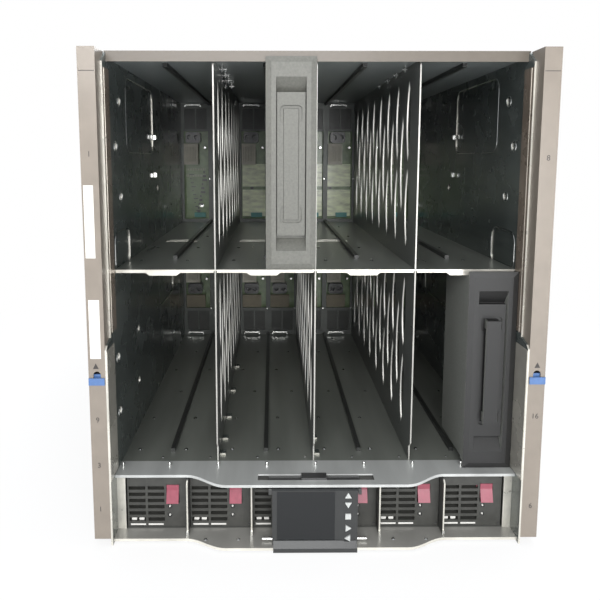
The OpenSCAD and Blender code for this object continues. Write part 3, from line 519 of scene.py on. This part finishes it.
for k in range(bay_n):
    across = (k - 3.5) * bay
    for low in (ceiling - 8, bay_foot + 2):
        add_block(brackets, (across - 20, bracket_at, low + 3),
                  (across + 11, bracket_at + 2, low + 5), 0.4)
        for x in (-20, 9):
            add_block(brackets, (across + x, bracket_at, low),
                      (across + x + 2, frame_at, low + 5), 0.4)
    for level in (ceiling - 84, bay_foot + 113):
        add_round(screws, (across + 17.4, frame_at, level), 2.8, 1.6, "-y", tip=2.0)
        add_round(screws, (across + 25.6, frame_at, level - 60), 1.8, 1.0, "-y", tip=1.2)
    add_plate(plates, [(across - 23, plate_z), (across + 14, plate_z),
                       (across + 14, plate_z + plate_h), (across - 23, plate_z + plate_h)], 507.2, 509)
    for n in range(12):
        x = across - 21 + pad_pitch * n
        for low in (ceiling - 140, ceiling - 128):
            add_block(pads, (x, board - 0.6, low), (x + 1.6, board, low + 4))
    for n in range(chip_n):
        x = across - 20 + 36 * (0.5 + 0.5 * sin(3.1 * n + 1.7 * k))
        z = shelf + 12 + 86 * n / chip_n
        add_block(chips, (x, board - 1.2, z), (x + 3 + 3 * (n % 3), board, z + 2 + 2 * (n % 2)), 0.2)
        z = bay_foot + 160 + 50 * n / chip_n
        add_block(chips, (x, board - 1.2, z), (x + 2 + 3 * (n % 3), board, z + 1.6), 0.2)
    add_round(screws, (across + 8, board, shelf + 31), 4.2, 0.8, "-y", tip=3.8)
    add_block(plugs, (across - 6, board - 6, shelf + 8), (across + 16, board, shelf + 17), 0.6)
panel_w = 45
for k in (2, 4, 5):
    left = (k - 3.5) * bay - panel_w / 2
    for low, high in ((10, 62), (68, 112)):
        add_block(panels, (left, board - 3.2, shelf + low),
                  (left + panel_w, board - 2.4, shelf + high), 0.3)
keep(brackets, "midplane_brackets", "enclosure", bright_steel)
keep(screws, "midplane_screws", "enclosure", bright_steel)
keep(pads, "board_pads", "enclosure", ivory)
keep(chips, "board_chips", "enclosure", power_black)
keep(plugs, "board_plugs", "enclosure", teal)
keep(panels, "board_panels", "enclosure", panel_green)
keep(plates, "connector_plates", "enclosure", dull_brown)


# --- Power supplies ----------------------------------------------------------------
# Dark moulded fronts with slotted grilles, a sprung burgundy tab each, and steel partitions whose
# faces that look forward are painted pale cream as a painted highlight.
def add_ring(form, centre, radius, rim, rise):
    """A raised ring that faces forward, round a hole."""
    steps = 24
    rings = []
    for grow, out in ((0, 0), (0.25 * rim, rise), (0.75 * rim, rise), (rim, 0)):
        turns = [2 * pi * k / steps for k in range(steps)]
        rings.append([form.verts.new(spot(centre[0] + (radius + grow) * cos(turn), centre[1] - out,
                                          centre[2] + (radius + grow) * sin(turn)))
                      for turn in turns])
    for inner, outer in zip(rings, rings[1:]):
        for k in range(steps):
            form.faces.new((inner[k - 1], inner[k], outer[k], outer[k - 1]))


psu_dark = finish("psu_dark", (0.038, 0.038, 0.034), 0.42, mottle=0.15, mottle_size=120, grain=0.2)
tab_red = finish("tab_burgundy", (0.24, 0.05, 0.075), 0.35, mottle=0.1, mottle_size=200, coat=0.2)
# The partitions' faces that look forward are painted pale cream as a painted highlight.
partition_zinc = finish("partition_zinc", (0.10, 0.10, 0.095), 0.3, metal=0.6, mottle=0.15,
                        mottle_size=60, streak=(1, 0.2, 1), edges=(1, -1, front_face_highlight))
psu_n = 6
dress(psu_dark, *["psu_%d" % n for n in range(1, psu_n + 1)])
dress(tab_red, *["psu_tab_%d" % n for n in range(1, psu_n + 1)])
dress(partition_zinc, "psu_bay_frame")
lamp_x = 13.4
lamp_z = (14.3, 24.5)
for n in range(1, psu_n + 1):
    low, high = [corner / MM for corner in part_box("psu_%d" % n)]
    front = low.y - face / MM
    middle = (low.x + high.x) / 2
    rides = "psu_%d" % n if n in (1, psu_n) else "enclosure"
    # two round tabs in the lowest slot, pale strips under it and the caps of the lamps
    form = bmesh.new()
    for x in (-27.5, -19):
        add_round(form, (middle + x, front + 4.5, low.z + 8.6), 2.9, 2.5, "-y")
    for first, last in ((-32, -14), (-11, 6)):
        add_block(form, (middle + first, front - 0.3, low.z + 2.2),
                  (middle + last, front + 0.1, low.z + 4), 0.1)
    for z in lamp_z:
        add_round(form, (middle + lamp_x, front + 0.9, low.z + z), 1.2, 1.5, "-y", tip=0.7)
    keep(form, "psu_details_%d" % n, rides, label_white)
    # black rings round the lamps and a screw near each corner
    form = bmesh.new()
    for z in lamp_z:
        add_ring(form, (middle + lamp_x, front, low.z + z), 1.85, 0.9, 0.5)
    for x in (-31.96, 31.96):
        for z in (3, 57.5):
            add_round(form, (middle + x, front, low.z + z), 1.3, 0.5, "-y", tip=0.9)
    keep(form, "psu_rings_%d" % n, rides, power_black)

# bright double feet at the front ends of the partitions
psu_pitch = (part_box("psu_2")[0].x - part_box("psu_1")[0].x) / MM
foot_h = 5.9
form = bmesh.new()
for n in range(-2, 3):
    for x in (-1.1, 0.3):
        left = n * psu_pitch + x
        add_block(form, (left, 7, tray_top), (left + 0.8, 10, tray_top + foot_h), 0.2)
keep(form, "partition_feet", "enclosure", bright_steel)

# --- Status display ------------------------------------------------------------------
# A gloss black housing with a dark screen and a column of pale buttons.
display_black = finish("display_black", (0.018, 0.019, 0.019), 0.14, mottle=0.1, coat=0.5)
screen_dark = finish("screen_dark", (0.005, 0.006, 0.007), 0.1, mottle=0.08, mottle_size=20,
                     coat=0.1)
button_grey = finish("button_grey", (0.42, 0.43, 0.42), 0.4, mottle=0.06, mottle_size=300)
carriage_black = finish("carriage_black", (0.04, 0.04, 0.04), 0.3, mottle=0.12, mottle_size=150)
dress(display_black, "display_housing")
dress(screen_dark, "display_window")
dress(button_grey, "button_up", "button_down", "button_stop", "button_next", "button_back")
dress(carriage_black, "display_slider")
dress(bright_steel, "display_rod")

# --- Device bay blanks ---------------------------------------------------------------
# Moulded fronts with a sunken handle, on a folded steel body. The upper one is mid grey and the
# lower one charcoal.
upper_charcoal = finish("upper_charcoal", (0.10, 0.10, 0.088), 0.45, mottle=0.16, mottle_size=420,
                        grain=0.5, grain_size=1500, metal=0.1)
lower_charcoal = finish("lower_charcoal", (0.011, 0.011, 0.011), 0.5, mottle=0.1, mottle_size=300,
                        grain=0.4, grain_size=1500, edges=(0, -1, (0.17, 0.175, 0.16)))
dress(upper_charcoal, "upper_blank", "upper_grip")
dress(lower_charcoal, "lower_blank", "lower_grip")

# --- Rear ------------------------------------------------------------------------------
# Plated shelves that carry fan modules, interconnect blanks, management modules and inlets.
panel_grey = finish("rear_panel_grey", (0.42, 0.43, 0.42), 0.36, metal=0.5, mottle=0.08, mottle_size=80,
                    grain=0.1)
fan_black = finish("fan_black", (0.035, 0.035, 0.035), 0.45, mottle=0.15, mottle_size=120, grain=0.3)
# The cage's faces that look forward take the partitions' pale cream painted highlight.
dress(partition_zinc, "rear_cage")
dress(panel_grey, "fan_blanks", "interconnect_blanks", "admin_modules")
dress(fan_black, "fan_modules", "power_inlets", *["fan_rotor_%d" % n for n in range(1, 5)])
